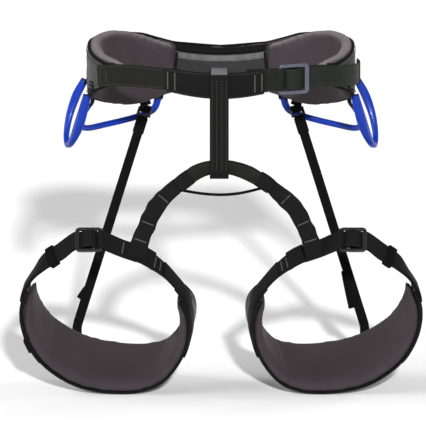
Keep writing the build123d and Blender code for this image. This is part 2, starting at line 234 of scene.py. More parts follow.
def swell(obj, paint, cap):
    """Foam in its cover: the mesh is remeshed and blown up a little as cloth, no further than cap.
    The result is kept, with its one material."""
    voxel, pressure, frames = 4.0, 4.0, 16
    bpy.context.view_layer.objects.active = obj
    remesh = obj.modifiers.new("remesh", "REMESH")
    remesh.mode = "VOXEL"
    remesh.voxel_size = voxel / 1000
    remesh.use_smooth_shade = True
    bake(obj)
    start = [v.co.copy() for v in obj.data.vertices]
    cloth = obj.modifiers.new("cloth", "CLOTH")
    s = cloth.settings
    s.use_pressure = True
    s.uniform_pressure_force = pressure
    s.effector_weights.gravity = 0
    s.quality = 6
    s.mass = 0.15
    s.tension_stiffness = s.compression_stiffness = 15
    s.shear_stiffness = 8
    s.bending_stiffness = 1.5
    cloth.collision_settings.use_collision = False
    for f in range(1, frames + 1):
        scene.frame_set(f)
    bake(obj)
    scene.frame_set(1)
    for v, at in zip(obj.data.vertices, start):
        move = v.co - at
        if move.length > cap / 1000:
            v.co = at + move.normalized() * cap / 1000
    smooth = obj.modifiers.new("smooth", "SMOOTH")
    smooth.factor, smooth.iterations = 0.5, 6
    sub = obj.modifiers.new("sub", "SUBSURF")
    sub.levels = sub.render_levels = 1
    bake(obj)
    obj.data.polygons.foreach_set("use_smooth", [True] * len(obj.data.polygons))
    obj.data.materials.clear()
    obj.data.materials.append(paint)


def bake(obj):
    """The mesh as its modifiers leave it, with the modifiers gone."""
    graph = bpy.context.evaluated_depsgraph_get()
    done = bpy.data.meshes.new_from_object(obj.evaluated_get(graph), depsgraph=graph)
    obj.modifiers.clear()
    obj.data = done
    bpy.context.view_layer.update()


def threads(name, runs, body, side="right", thick=STITCH, material=None, **rest):
    """Separate stitches, each a small spindle: runs are (from, to, outward)."""
    verts, faces = [], []
    for a, b, out in runs:
        a, b = flip(a, side), flip(b, side)
        out = flip(out, side).normalized()
        run = b - a
        across = run.cross(out).normalized()
        first = len(verts)
        for share, r in ((0.0, 0.35), (0.25, 1.0), (0.75, 1.0), (1.0, 0.35)):
            for k in range(6):
                q = math.tau * k / 6
                spoke = (across * math.cos(q) + out * math.sin(q)) * thick * r
                verts.append(metres(a + run * share + spoke))
        for i in range(first, first + 18, 6):
            for k in range(6):
                m = (k + 1) % 6
                faces.append((i + k, i + m, i + 6 + m, i + 6 + k))
        faces.append(tuple(first + k for k in range(5, -1, -1)))
        faces.append(tuple(first + 18 + k for k in range(6)))
    return mesh(name, verts, faces, None, material or THREAD_DARK, body, **rest)


def seam(points, outs, pitch=3.2, length=2.2):
    """Stitches along a line of points."""
    runs = []
    fine, faces, _ = refine(points, per_point(outs, points), 0.8)
    total, next_at = 0.0, 0.0
    for i in range(len(fine) - 1):
        d = (fine[i + 1] - fine[i])
        while next_at <= total + d.length and d.length > 0:
            a = fine[i] + d * ((next_at - total) / d.length)
            runs.append((a, a + d.normalized() * length, faces[i]))
            next_at += pitch
        total += d.length
    return runs


def tack(centre, across, ahead, out, length=18.0, width=1.7):
    """Bar tack: a dense zigzag across the strap."""
    count = int(length / 0.8)
    runs = []
    for k in range(count):
        base = centre + across * (-length / 2 + length * k / count)
        swing = ahead * width / 2 * (1 if k % 2 else -1)
        runs.append((base - swing, base + swing + across * length / count, out))
    return runs


# Materials ------------------------------------------------------------------------------------

def srgb(*tone):
    return tuple(((c / 255 + 0.055) / 1.055) ** 2.4 if c > 10 else c / 255 / 12.92 for c in tone) + (1.0,)


class Paint:
    """A node material in which lengths are in millimetres."""

    def __init__(self, name, color, rough, coords="Object", **sockets):
        self.m = bpy.data.materials.new(name)
        self.m.use_nodes = True
        self.n, self.l = self.m.node_tree.nodes, self.m.node_tree.links
        self.shader = self.n["Principled BSDF"]
        self.feed(self.shader, Base_Color=color, Roughness=rough, **sockets)
        self.color, self.height = color, None
        self.at = self.node("TexCoord").outputs[coords]
        if coords == "Object":
            self.at = self.node("Mapping", Scale=(1000, 1000, 1000), Vector=self.at).outputs["Vector"]

    def put(self, socket, value):
        """Sets an input to a value, or links it to another node's output."""
        if isinstance(value, bpy.types.NodeSocket):
            self.l.new(value, socket)
        else:
            socket.default_value = value

    def feed(self, node, **inputs):
        for key, value in inputs.items():
            self.put(node.inputs[key.replace("_", " ")], value)
        return node

    def node(self, kind, **inputs):
        return self.feed(self.n.new("ShaderNode" + kind), **inputs)

    def wave(self, period, direction="X", angle=0):
        at = self.at
        if angle:
            turn = (0, 0, math.radians(angle))
            at = self.node("Mapping", Rotation=turn, Vector=at).outputs["Vector"]
        w = self.node("TexWave", Scale=0.314159 / period, Vector=at)
        w.bands_direction = direction
        return w.outputs["Fac"]

    def noise(self, size, detail=3.0):
        w = self.node("TexNoise", Scale=1 / size, Detail=detail, Roughness=0.55, Vector=self.at)
        return w.outputs["Fac"]

    def math(self, kind, a, b):
        w = self.node("Math")
        w.operation = kind
        self.put(w.inputs[0], a)
        self.put(w.inputs[1], b)
        return w.outputs[0]

    def tint(self, fac, dark, light):
        """Base colour between two colours."""
        w = self.n.new("ShaderNodeMix")
        w.data_type = "RGBA"
        self.feed(w, A=dark, B=light, Factor=fac)
        self.feed(self.shader, Base_Color=w.outputs["Result"])

    def bump(self, height, distance, strength=1.0):
        w = self.node("Bump", Distance=distance / 1000, Strength=strength, Height=height)
        if self.height:
            self.feed(w, Normal=self.height)
        self.height = w.outputs["Normal"]
        self.feed(self.shader, Normal=self.height)

    def rough(self, value, low, high):
        w = self.node("MapRange", To_Min=low, To_Max=high, Value=value)
        self.feed(self.shader, Roughness=w.outputs["Result"])


def shade(color, k):
    return tuple(min(1.0, c * k) for c in color[:3]) + (1.0,)


def lining_paint(name, rim):
    """Brushed knit. rim: strength of a painted highlight, lighter where the lining faces up, as where it
    rolls over the top of the pad.
    """
    p = Paint(name, srgb(46, 40, 43), 0.9, Sheen_Weight=0.08, Sheen_Roughness=0.5,
              Specular_IOR_Level=0.15)
    p.shader.inputs["Sheen Tint"].default_value = srgb(190, 178, 178)
    knit = p.math("MULTIPLY", p.wave(1.1, "Z"), p.wave(1.1, "DIAGONAL"))
    cloud = p.noise(26, 4)
    grain = p.noise(1.4, 2)
    p.tint(p.math("MULTIPLY_ADD", cloud, 0.75), shade(p.color, 0.72), shade(p.color, 1.25))
    if rim:
        # Painted highlight: the base colour is mixed towards light grey where the surface normal points
        # up
        plain = p.shader.inputs["Base Color"].links[0].from_socket
        parts = p.node("SeparateXYZ", Vector=p.node("NewGeometry").outputs["Normal"])
        up = p.node("MapRange", From_Min=0.12, From_Max=0.95, To_Max=rim, Value=parts.outputs["Z"])
        up.interpolation_type = "SMOOTHSTEP"
        p.tint(up.outputs["Result"], plain, srgb(112, 105, 108))
    p.bump(p.noise(18, 2), 0.9, 0.35)
    p.bump(knit, 0.12, 0.5)
    p.bump(grain, 0.16, 0.5)
    p.rough(grain, 0.8, 0.98)
    return p.m


def shell_paint(name, color, rough=0.62):
    p = Paint(name, color, rough, Sheen_Weight=0.08, Sheen_Roughness=0.4, Specular_IOR_Level=0.3)
    grid = p.math("MAXIMUM", p.wave(2.6, "Z"), p.wave(2.6, "DIAGONAL"))
    grain = p.noise(0.9, 3)
    p.tint(p.math("MULTIPLY", grid, p.noise(9, 3)), shade(color, 0.7), shade(color, 1.7))
    p.bump(grid, 0.14, 0.6)
    p.bump(grain, 0.2, 0.6)
    p.bump(p.noise(12, 2), 1.2, 0.3)
    p.rough(grain, rough - 0.12, rough + 0.2)
    return p.m


def webbing_paint(name, color, rib=1.7, cross=2.2, rough=0.7, depth=0.3, sheen=0.05):
    """Woven strap: ribs across it and columns along it."""
    p = Paint(name, color, rough, "UV", Sheen_Weight=sheen * 0.4, Sheen_Roughness=0.35,
              Specular_IOR_Level=0.07)
    ribs, columns = p.wave(rib, "X"), p.wave(cross, "Y")
    twill = p.wave(1.3, "X", 45)
    grain = p.noise(0.7, 2)
    weave = p.math("ADD", p.math("MULTIPLY", ribs, 0.65), p.math("MULTIPLY", columns, 0.35))
    wear = p.math("MULTIPLY", p.math("ADD", weave, p.noise(14, 4)), 0.5)
    p.tint(wear, shade(color, 0.55), shade(color, 1.7))
    p.bump(weave, depth, 0.8)
    p.bump(twill, 0.08, 0.6)
    p.bump(grain, 0.15, 0.6)
    p.rough(grain, rough - 0.12, rough + 0.15)
    return p.m


def mesh_paint(name, color, gap):
    p = Paint(name, color, 0.8)
    v = p.node("TexVoronoi", Scale=1 / 2.3, Randomness=0.12, Vector=p.at)
    v.feature = "DISTANCE_TO_EDGE"
    w = p.node("MapRange", From_Max=0.42, To_Min=1.0, To_Max=0.0, Value=v.outputs["Distance"])
    cell = w.outputs["Result"]
    p.tint(cell, gap, color)
    p.bump(cell, 0.35, 0.9)
    return p.m


def metal_paint(name, color, rough, metallic=1.0):
    p = Paint(name, color, rough, Metallic=metallic)
    fine = p.noise(0.5, 2)
    p.tint(p.noise(7, 4), shade(color, 0.82), shade(color, 1.12))
    p.bump(fine, 0.02, 0.5)
    p.rough(p.noise(5, 4), rough - 0.08, rough + 0.12)
    return p.m


def plastic_paint(name, color, rough, coat=0.0):
    p = Paint(name, color, rough, Coat_Weight=coat, Coat_Roughness=0.12, Specular_IOR_Level=0.2)
    p.tint(p.noise(16, 3), shade(color, 0.85), shade(color, 1.12))
    p.bump(p.noise(1.1, 3), 0.05, 0.5)
    p.rough(p.noise(6, 4), rough - 0.05, rough + 0.1)
    return p.m


LINING = lining_paint("lining_paint", 0.0)
# Same lining with a painted highlight on the faces that point up, for the waist wings
WING_LINING_PAINTED_HIGHLIGHT = lining_paint("wing_lining_painted_highlight_paint", 0.8)
SHELL = shell_paint("shell_paint", srgb(46, 45, 44))
BINDING = webbing_paint("binding_paint", srgb(12, 11, 11), 1.2, 1.6, 0.75, 0.15)
WAIST = webbing_paint("waist_webbing_paint", srgb(22, 23, 21), 2.1, 3.0, 0.6, 0.35)
TAIL = webbing_paint("ribbed_webbing_paint", srgb(25, 28, 24), 3.1, 8.0, 0.55, 0.55)
BLACK = webbing_paint("black_webbing_paint", srgb(14, 13, 13), 1.9, 2.6, 0.65, 0.3)
SLEEVE = webbing_paint("sleeve_paint", srgb(19, 19, 18), 1.5, 1.5, 0.55, 0.2, 0.12)
ELASTIC = webbing_paint("elastic_paint", srgb(7, 6, 6), 1.4, 1.4, 0.85, 0.15, 0.05)
PALE = webbing_paint("pale_binding_paint", srgb(80, 80, 82), 1.4, 1.8, 0.75, 0.2)
PALE_MESH = mesh_paint("pale_mesh_paint", srgb(84, 84, 84), srgb(44, 44, 44))
DARK_MESH = mesh_paint("dark_mesh_paint", srgb(17, 16, 16), srgb(6, 6, 6))
THREAD = plastic_paint("thread_paint", srgb(72, 72, 70), 0.8)
THREAD_DARK = plastic_paint("dark_thread_paint", srgb(50, 50, 47), 0.8)
ALLOY = metal_paint("anodised_alloy_paint", srgb(98, 100, 112), 0.38)
BLACK_ALLOY = metal_paint("black_alloy_paint", srgb(20, 20, 21), 0.32, 0.3)
STEEL = metal_paint("steel_paint", srgb(200, 200, 204), 0.25)
BLUE = plastic_paint("blue_plastic_paint", srgb(2, 42, 140), 0.32, 0.12)
PLASTIC = plastic_paint("black_plastic_paint", srgb(24, 24, 24), 0.5)


# Waist belt -----------------------------------------------------------------------------------

PAD_TOP = [(0, 362), (20, 364), (45, 384), (60, 391), (78, 393), (90, 392), (105, 387), (132, 381)]
PAD_FOOT = [(0, 310), (20, 310), (42, 300), (60, 306), (75, 316), (90, 325), (105, 338), (132, 357)]


def normal(angle):
    a = math.radians(angle)
    return Vector((math.sin(a) / HALF_W, math.cos(a) / HALF_D, 0)).normalized()


def belt(angle, depth, height):
    a = math.radians(angle)
    return Vector((HALF_W * math.sin(a), HALF_D * math.cos(a), height)) + normal(angle) * depth


def end_share(x, span):
    """From 0 at a rounded end to 1 at span inside it."""
    x = max(0.0, min(1.0, x / span))
    return math.sqrt(max(0.0, 1 - (1 - x) ** 2))


def belt_rows(first, last, step, foot, top, depth, thick, corner, ends=(0, 0), crown=0.0):
    """Rows of a layer of the belt. ends: degrees over which each end is rounded off, down to least."""
    least, nw = 0.25, 14
    rows = []
    for a in spread(first, last, round(abs(last - first) / step)):
        share = 1.0
        if ends[0]:
            share = min(share, least + (1 - least) * end_share(abs(a - first), ends[0]))
        if ends[1]:
            share = min(share, least + (1 - least) * end_share(abs(last - a), ends[1]))
        low, high = foot(a), top(a)
        tall = (high - low) * (0.35 + 0.65 * share)
        middle = (low + high) / 2
        t = thick * share
        row = []
        for u, v in rounded(tall, t, min(corner, t * 0.48, tall * 0.48), nw, 2, 4):
            swellin = crown * (1 - (2 * u / tall) ** 2) if v < 0 else 0.0
            row.append(belt(a, depth + v - swellin, middle + u))
        rows.append(row)
    return rows


def foot_at(a):
    return table(PAD_FOOT, abs(a))


def top_at(a):
    return table(PAD_TOP, abs(a))


for side, sign in (("right", -1), ("left", 1)):
    rows = belt_rows(sign * 134, sign * 21, 2, foot_at, top_at, 6.0, 11.6, 3.4, (9, 2.0), 1.0)
    pad = build(f"waist_lining_{side}", rows, WING_LINING_PAINTED_HIGHLIGHT, None, replaces=f"waist_pad_{side}",
                slot="lining")
    swell(pad, WING_LINING_PAINTED_HIGHLIGHT, 1.1)
    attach(pad, "waist")


def shell_depth(a, u):
    """The shell pulls in towards its bound edges and puckers a little."""
    p = belt(a, 14, 340 + 40 * u)
    return 14.1 - 1.9 * abs(u) ** 5 + 0.5 * noise.noise(p * 0.07)


# Above the lining beside the back panel, and below its rim round the sides
SHELL_TOP = [(0, 359), (21, 364.5), (30, 371.5), (38, 378), (50, 382), (60, 384), (78, 386.3),
             (90, 385.4), (105, 380.5), (134, 374)]


def shell_top(a):
    return table(SHELL_TOP, abs(a))


rows = []
for a in spread(-134, 134, 134):
    end = 0.35 + 0.65 * min(end_share(a + 134, 7), end_share(134 - a, 7))
    low, high = foot_at(a) + 2.5, shell_top(a)
    tall, middle = (high - low) * end, (low + high) / 2
    rows.append([belt(a, shell_depth(a, 2 * u / tall) + v, middle + u)
                 for u, v in rounded(tall, 2.4, 1.0, 18, 1, 2)])
build("belt_shell", rows, SHELL, "waist", replaces="waist_shell", slot="shell_fabric")


def edging(name, first, last, height, depth, wide, thick, paint, body="waist", **rest):
    """Bound edge: a folded tape along the belt."""
    rows = []
    for a in spread(first, last, round(abs(last - first) / 2.5)):
        p = belt(a, depth, height(a))
        rows.append(ring(p, Z, normal(a), wide, thick, thick * 0.48, 3, 1, 4))
    return build(name, rows, paint, body, **rest)


edging("belt_top_binding", -133, 133, lambda a: shell_top(a) - 0.5, 12.9, 4.2, 3.2, BINDING)
edging("belt_foot_binding", -133, 133, lambda a: foot_at(a) + 3.2, 12.9, 4.0, 3.0, BINDING)
for side, sign in (("right", -1), ("left", 1)):
    line = [a * sign for a in range(26, 131, 4)]
    for label, drop in (("top", -5.0), ("foot", 8.0)):
        pts = [belt(a, 15.5, (shell_top(a) if label == "top" else foot_at(a)) + drop) for a in line]
        threads(f"belt_{label}_stitches_{side}", seam(pts, [normal(a) for a in line]), "waist")

# Back of the belt: black top band, pale stripe and dark mesh between the two wings.
def back_top(a):
    return 358.9 + 5.6 * (a / 21) ** 2


rows = belt_rows(-22.5, 22.5, 2.5, lambda a: 310, lambda a: back_top(a) - 0.6, 6.6, 9.4, 3.6)
build("back_body", rows, SHELL, "waist", replaces="back_panel", slot="shell_fabric")
rows = belt_rows(-22.3, 22.3, 2.2, lambda a: back_top(a) - 7.8, back_top, 5.2, 9.6, 3.4)
build("back_top_band", rows, BINDING, "waist")
rows = belt_rows(-22, 22, 2, lambda a: back_top(a) - 14.8, lambda a: back_top(a) - 7.2, 1.5, 1.8, 0.8,
                 crown=0.5)
build("back_stripe", rows, PALE_MESH, "waist", replaces="back_mesh_stripe", slot="pale_mesh")
rows = belt_rows(-22, 22, 2, lambda a: 311, lambda a: back_top(a) - 14.4, 1.6, 2.0, 0.9, crown=1.0)
build("back_mesh", rows, DARK_MESH, "waist", replaces="back_lower_lining", slot="dark_mesh")
for label, drop in (("upper", 7.4), ("lower", 14.8)):
    line = range(-21, 22, 3)
    pts = [belt(a, 0.4, back_top(a) - drop) for a in line]
    threads(f"back_{label}_stitches", seam(pts, [-normal(a) for a in line]), "waist")
for side, sign in (("right", -1), ("left", 1)):
    # Piping where each wing's lining ends
    heights = (318, 326, 334, 342, 350, 357)
    pts = [belt(sign * (22.2 + 0.5 * math.sin(k)), 0.8, z) for k, z in enumerate(heights)]
    build(f"wing_piping_{side}", strip(pts, -normal(sign * 22), 3.2, 2.6), BINDING, "waist")
NODES["waist_core_webbing"].data.materials[0] = BLACK


STRAP_RISE = [(84, -14), (90, -14), (104, -11), (117, -7), (130, -1), (140, 1.5), (180, 1.5)]


def rise(angle):
    """The webbing drops towards the sides."""
    a = abs(angle)
    for (p, low), (q, high) in zip(STRAP_RISE, STRAP_RISE[1:]):
        if a <= q:
            return low + (high - low) * (a - p) / (q - p)
    return 1.5


def belt_strip(angles, depth, width, thick=2.0, up=rise, crown=0.0, corner=None):
    pts = [belt(a, depth + thick / 2, H + up(a)) for a in angles]
    return strip(pts, [normal(a) for a in angles], width, thick, corner, crown)


angles = [-162 + 4 * k for k in range(12)] + [-115]
build("front_strap_right", belt_strip(angles, STRAP_DEPTH, 24, 2.0), WAIST, "waist",
      replaces="front_webbing_right", slot="waist_webbing")
edge = [a for a in range(-154, -115, 4)]
for label, dz in (("upper", 9.8), ("lower", -9.8)):
    threads(f"front_strap_{label}_stitches", seam([belt(a, 17.6, H + rise(a) + dz) for a in edge],
            [normal(a) for a in edge]), "waist")

# Waist buckle: its plane, as x along the webbing and z outward.
OUT = normal(148.5)
ALONG = Z.cross(OUT)
LEAN = math.radians(8)
BX = ALONG * math.cos(LEAN) + OUT * math.sin(LEAN)
BZ = OUT * math.cos(LEAN) - ALONG * math.sin(LEAN)
BO = belt(148.5, STRAP_DEPTH + 7.5, H + 1.5)


def fold(o, bx, bz, x, z, radius, way):
    points, faces = [], []
    for turn in (90, 45, 0, -45, -90):
        c, s = way * math.cos(math.radians(turn)), math.sin(math.radians(turn))
        points.append(o + bx * (x + c * radius) + bz * (z + s * radius))
        faces.append((bx * c + bz * s).normalized())
    return points, faces


def bulge(o, bx, bz, profile):
    """Loose turn of a strap through a buckle, from (x, z) points along the buckle."""
    points, faces = [], []
    for i, (x, z) in enumerate(profile):
        (xa, za), (xb, zb) = profile[max(i - 1, 0)], profile[min(i + 1, len(profile) - 1)]
        points.append(o + bx * x + bz * z)
        faces.append((bx * (za - zb) + bz * (xb - xa)).normalized())
    return points, faces


middle = STRAP_DEPTH + 1.0
path = [belt(a, middle + d, H + 1.5) for a, d in ((169, 0), (162, 0), (159.5, 1.6), (157, 4.4))]
faces = [normal(a) for a in (169, 162, 159.5, 157)]
turn, out = fold(BO, BX, BZ, -15.3, 0, 3.2, 1)
path += turn + [belt(a, middle + d, H + 1.5) for a, d in ((159.5, -1.0), (162, -2.3), (169, -2.3))]
faces += out + [-normal(a) for a in (159.5, 162, 169)]
build("front_strap_left", strip(path, faces, 24, 2.0, step=1.5, fixed=Z), WAIST, "waist",
      replaces="front_webbing_left", slot="waist_webbing")

inner = (120, 126, 132, 137)
path = [belt(a, middle, H + rise(a)) for a in inner]
faces = [-normal(a) for a in inner]
WAIST_TURN = ((15, -7.7), (3, -7.3), (-4.5, -7.3), (-8, -6.2), (-9.4, -3.2), (-8.8, 0.2), (-5.6, 2.8),
              (-1, 3.9), (3.5, 3.2), (7.2, 0.6), (10, -2.0), (13, -2.9), (21, -2.9))
wrap, out = bulge(BO, BX, BZ, WAIST_TURN)
path += wrap
faces += out
tail = (136, 131, 126, 120, 114, 108, 102, 96, 90, 84)
path += [belt(a, middle + max(2.3, 4.6 - 0.5 * (136 - a)), H + rise(a)) for a in tail]
faces += [normal(a) for a in tail]
build("waist_tail", strip(path, faces, 23.5, 2.0, step=1.5, fixed=Z), TAIL, "waist",
      replaces="waist_adjusting_strap", slot="waist_webbing")


def band(name, o, u, v, w, half_u, half_v, wide, thick, corner, paint, body, side="right", **rest):
    """Closed band round a strap: u and v span its outline, w runs along the strap."""
    rows = []
    for a, b in rounded(2 * half_u, 2 * half_v, corner, 6, 2, 4):
        out = (u * (a / half_u) * 0.6 + v * (b / half_v)).normalized()
        p = o + u * a + v * b
        rows.append(ring(p, w, out, wide, thick, thick * 0.45, 3, 1, 3))
    return build(name, rows, paint, body, side, loop=True, **rest)


band("waist_tail_keeper", belt(90, middle + 2.0, H - 0.4 + rise(90)), Z, normal(90), normal(90).cross(Z),
     12.1, 1.7, 8.5, 1.0, 1.3, ELASTIC, "waist", replaces="waist_strap_keeper", slot="elastic")


def tie_share(angle):
    """From 0 at the tie-in strap's ends to 1 at the belay loop."""
    return math.cos(math.radians(min(90, abs(abs(angle) - 180) * 90 / 24)))


def sag(angle):
    return 1.5 - 5.0 * tie_share(angle)


def tie_rows(first, last):
    rows = []
    for a in spread(first, last, 12):
        share = tie_share(a)
        wide = 25.5 + 3.4 * share
        p = belt(a, TIE_DEPTH + 1.2, H + sag(a))
        rows.append([p + Z * u + normal(a) * (v + (0.5 * (1 - (2 * u / wide) ** 2) if v > 0 else 0))
                     for u, v in rounded(wide, 2.6, 1.2, 10, 1, 3)])
    return rows


for side, first in (("right", -156), ("left", -198.5)):
    strap = build(f"tie_in_half_{side}", tie_rows(first, -180), BLACK, None,
                  replaces="tie_in_strap" if side == "right" else "", slot="tie_in_webbing")
    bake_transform(strap)
    line = spread(first, -180, 10)
    for label, way in (("top", 1), ("foot", -1)):
        pts = [belt(a, TIE_DEPTH + 2.9, H + sag(a) + way * (11 + 1.7 * tie_share(a))) for a in line]
        stitches = seam(pts, [normal(a) for a in line], 2.6, 1.7)
        s = threads(f"tie_in_{label}_stitches_{side}", stitches, None)
        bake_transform(s)


def belt_tack(angle, depth, length, up):
    return tack(belt(angle, depth, H + up), Z, Z.cross(normal(angle)), normal(angle), length)


tacks = sum([belt_tack(a, TIE_DEPTH + 2.9, 19, sag(a)) for a in (-157, -160.2, -194.3, -197.4)], [])
threads("front_bar_tacks", tacks, "waist", thick=0.45, material=THREAD, replaces="waist_bar_tacks",
        slot="thread")
tacks = belt_tack(-118, 17.8, 14, rise(118)) + belt_tack(-122.5, 17.8, 14, rise(122))
threads("side_bar_tacks", tacks, "waist", thick=0.35)
threads("side_edge_stitches", belt_tack(-113.4, 16.3, 22, rise(114)), "waist", thick=0.4, material=THREAD)


# Middle ---------------------------------------------------------------------------------------

def front_y(z):
    return BELAY_Y + (277 - z) * 0.11


def slot_path(length, wide, foot, arc=8):
    """Closed outline in y and z, upright, as (point, outward)."""
    r = wide / 2
    low, high = foot + (122 - length) / 2 + r, foot + (122 + length) / 2 - r
    turns = [math.pi * k / arc for k in range(arc + 1)]
    points = [(Vector((0, -math.cos(q) * r, high + math.sin(q) * r)),
               Vector((0, -math.cos(q), math.sin(q)))) for q in turns]
    points += [(Vector((0, r, high + (low - high) * k / 16)), Y) for k in range(1, 16)]
    points += [(Vector((0, math.cos(q) * r, low - math.sin(q) * r)),
                Vector((0, math.cos(q), -math.sin(q)))) for q in turns]
    points += [(Vector((0, -r, low + (high - low) * k / 16)), -Y) for k in range(1, 16)]
    return points


LAYERS = (("outer", 119.9, 15.5, 20.4, 2.1), ("inner", 116.1, 11.7, 19.2, 1.9))
for label, length, wide, across, thick in LAYERS:
    rows = [ring(BELAY + p, X, out, across, thick, 0.85, 8, 1, 3)
            for p, out in slot_path(length, wide, 264)]
    build(f"belay_{label}_layer", rows, BLACK, "middle", loop=True,
          replaces="belay_loop" if label == "outer" else "", slot="black_webbing")
for label, dx in (("a", -7.6), ("b", 7.6), ("c", -2.8), ("d", 2.8)):
    for face, y, out in (("front", -8.9, -Y), ("back", 8.9, Y)):
        pts = [Vector((BELAY_X + dx, BELAY_Y + y, z)) for z in range(276, 375, 14)]
        threads(f"belay_stitches_{label}_{face}", seam(pts, out, 3.0, 1.9), "middle", thick=FINE_STITCH)
pick = slot_path(121.5, 17.3, 264)[1:8]
pts = [BELAY + p for p, _ in pick]
build("belay_top_binding", strip(pts, [o for _, o in pick], 17.5, 1.0, step=1.2, fixed=X),
      PALE, "middle", replaces="belay_loop_guard", slot="pale_binding")

BRIDGE = [(-40, 261), (-28, 270), (-14, 276), (-2, 277.3), (12, 276), (28, 270.5), (48, 259)]
path = [Vector((x, front_y(z), z)) for x, z in BRIDGE]
rows = strip(path, -Y, [15.5, 16.5, 15.5, 14.5, 15.5, 16.5, 15.5], [5.5, 7.4, 7.4, 7, 7.4, 7.4, 5.5],
             3.2, 0.6, 2.0, wobble=0.5)
build("bridge_cover", rows, SLEEVE, "middle", replaces="bridge_sleeve", slot="black_webbing")
NODES["bridge_webbing"].data.materials[0] = BLACK
fine, outs, _ = refine(path, [-Y] * 7, 6)
for label, drop in (("upper", 1), ("lower", -1)):
    pts = []
    for i, p in enumerate(fine):
        pts.append(p + Y.cross(ahead_at(fine, i)).normalized() * -5.6 * drop - Y * 3.3)
    keep = [p for p in pts if abs(p.x - BELAY_X) > 10.5]
    for part, group in (("a", [p for p in keep if p.x < BELAY_X]),
                        ("b", [p for p in keep if p.x > BELAY_X])):
        threads(f"bridge_{label}_stitches_{part}", seam(group, -Y, 2.8, 1.8), "middle", thick=0.32)
CUFFS = {"right": [(-33, 266.5), (-40, 261), (-46.5, 255.5)], "left": [(40, 264.5), (48, 259), (54, 254)]}
for side, pts in CUFFS.items():
    path = [Vector((x, front_y(z) - 0.4, z)) for x, z in pts]
    build(f"bridge_cuff_{side}", strip(path, -Y, [17, 17.5, 16.5], 8.2, 3.2, 0.4), BLACK, "middle")

cord = [(-41.5, 249.5), (-26, 246.5), (-10, 244.8), (6, 244.5), (26, 247), (43, 252)]
data = bpy.data.curves.new("bridge_cord", "CURVE")
data.dimensions = "3D"
data.bevel_depth = 0.0016
data.bevel_resolution = 4
data.resolution_u = 16
spline = data.splines.new("NURBS")
spline.points.add(len(cord) - 1)
for knot, (x, z) in zip(spline.points, cord):
    knot.co = (*metres(Vector((x, front_y(z) + 3.3, z))), 1)
spline.order_u = 3
spline.use_endpoint_u = True
data.materials.append(ELASTIC)
cord_piece = link("bridge_cord", data)
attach(cord_piece, "middle")
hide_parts("bridge_elastic")
x, z = cord[0]

ARMS = {"right": [(-42, 259.6), (-57, 247), (-71, 229.5), (-81, 208), (-88.5, 189), (-92.5, 172)],
        "left": [(50, 257.6), (64, 246), (80, 229), (91, 208), (98, 189), (101.5, 172)]}
for side, pts in ARMS.items():
    path = [Vector((x, front_y(z) + max(0, 190 - z) * 0.22, z)) for x, z in pts]
    body = f"leg_{side}"
    start, end = metres(path[0]), metres(path[4])
    rows = strip(path, -Y, [14.5, 17.5, 19, 19, 19.5, 20], [5.0, 3.6, 3.0, 3.0, 2.8, 2.4], None, 0.3, 2.0,
                 wobble=1.3)
    arm = build(f"arm_strap_{side}", rows, BLACK, None, replaces=f"bridge_arm_{side}",
                slot="black_webbing")
    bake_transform(arm)
    tacks = []
    for i, t in ((1, 0.35), (3, -0.25), (3, 0.75)):
        p = along(path, i + t)
        ahead = (along(path, min(4.9, i + t + 0.1)) - along(path, i + t - 0.1)).normalized()
        tacks += tack(p - Y * 2.3, ahead.cross(-Y).normalized(), ahead, -Y, 13)
    s = threads(f"arm_tacks_{side}", tacks, None, material=THREAD)
    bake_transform(s)


# Leg loops ------------------------------------------------------------------------------------

LEG_RIM = [
    (-80, 153, 24), (-90, 134, 38), (-95.5, 108, 54), (-92, 77, 67), (-79, 46, 78), (-57, 22, 85),
    (-30, 6, 88), (0, 0, 88), (30, 0.5, 86), (56, 11, 81), (75.5, 36, 73), (86.5, 66, 62),
    (88, 98, 50), (79.5, 124, 38), (67, 144, 26),
]
RIM_UP = Vector((0, -0.3586, 0.9335))
LEG_BACK = Vector((0.15, 0.923, 0.3546))
LEG_BACK_UNIT = LEG_BACK.normalized()
LEG_ORIGIN = Vector((-123, -35, 0))
FRONT = Vector((0, -0.8, 0.6))
RIM = [Vector(r) for r in LEG_RIM]


def rim_point(across, up, back=0.0):
    return LEG_ORIGIN + X * across + RIM_UP * up + LEG_BACK * back


def rim_at(t):
    """Place on the near rim, outward direction and reach, at t steps along the row."""
    q = along(RIM, t)
    d = along(RIM, min(t + 0.08, 13.999)) - along(RIM, max(t - 0.08, 0))
    return rim_point(q.x, q.y), (X * d.y - RIM_UP * d.x).normalized(), q.z


def rim_out(i):
    a, b = LEG_RIM[max(i - 1, 0)], LEG_RIM[min(i + 1, 14)]
    return (X * (b[1] - a[1]) - RIM_UP * (b[0] - a[0])).normalized()


def leg_rows(outer, inner, near, far, corner, first, last, ends, least, crown=0.0, pucker=0.0):
    """Rows of a layer of the leg loop between two depths from its outer face."""
    step, nw = 0.14, 14
    rows = []
    for t in spread(first, last, round((last - first) / step)):
        p, out, reach = rim_at(min(t, 13.9999))
        share = least + (1 - least) * min(end_share(t - first, ends), end_share(last - t, ends))
        a, b = near(reach), far(reach)
        wide, middle = (b - a) * (0.45 + 0.55 * share), (a + b) / 2
        thick = (inner - outer) * share
        depth = (outer + inner) / 2
        row = []
        for u, v in rounded(wide, thick, min(corner, thick * 0.48), nw, 2, 4):
            puff = crown * (1 - (2 * u / wide) ** 2) * share if v < 0 else 0.0
            q = p + LEG_BACK * (middle + u) - out * (depth - v + puff)
            if pucker:
                q = q + out * noise.noise(q * 0.06) * pucker
            row.append(q)
        rows.append(row)
    return rows


def mixed(i, share):
    return (rim_out(i) * (1 - share) + FRONT * share).normalized()


